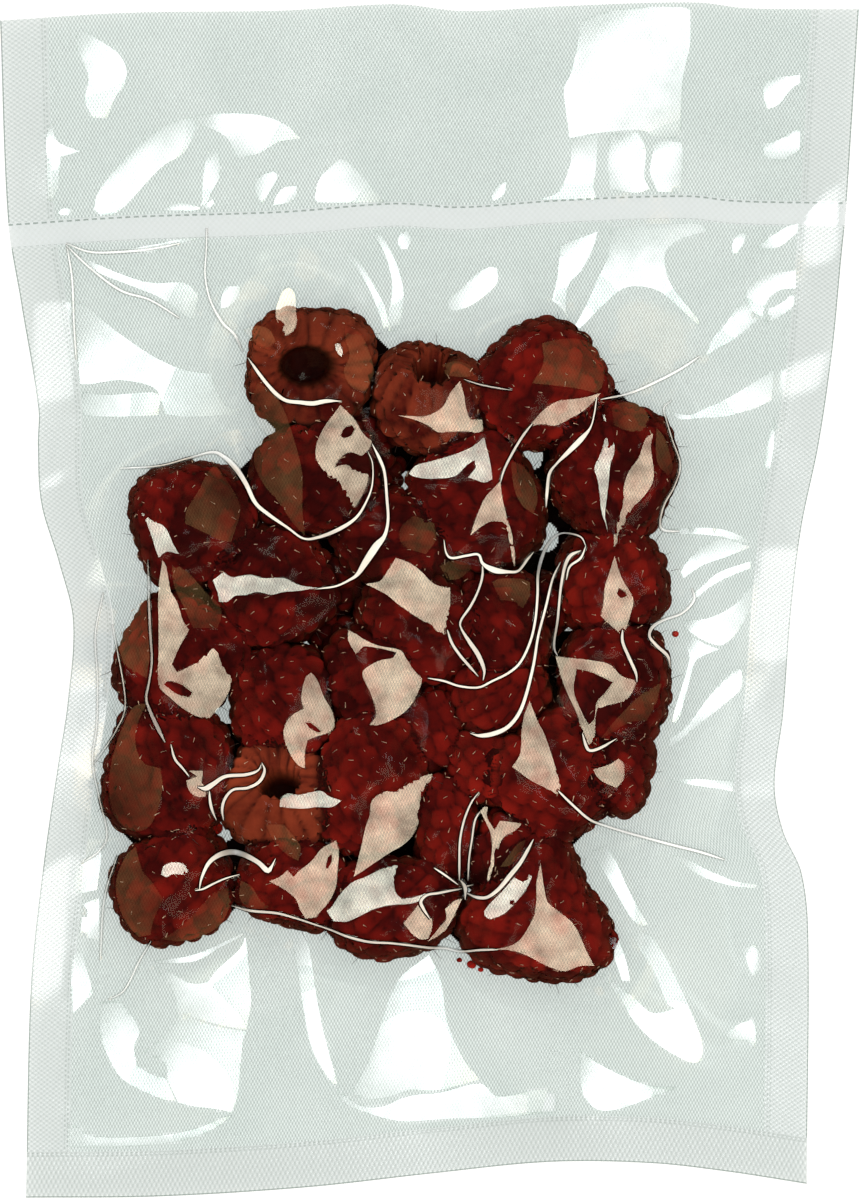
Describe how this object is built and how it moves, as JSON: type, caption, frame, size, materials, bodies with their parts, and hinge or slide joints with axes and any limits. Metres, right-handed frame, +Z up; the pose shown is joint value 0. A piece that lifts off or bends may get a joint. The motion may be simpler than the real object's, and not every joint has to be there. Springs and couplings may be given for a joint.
{
  "type": "vacuum seal bag of berries",
  "caption": "Clear film bag welded on three sides, heat sealed below its open mouth, drawn tight over a flat layer of soft berries.",
  "frame": {"origin": "on the table, under the middle of the bag as it lies", "axes": "+Z up through the front film, +Y from the welded foot to the open mouth, +X to the right seen from above"},
  "size_m": [0.15, 0.2088, 0.0172],
  "materials": {
    "film": "clear, glossy, with a fine embossed back film"
  },
  "bodies": {
    "root": {"sealed_bag": "film"}
  },
  "joints": []
}
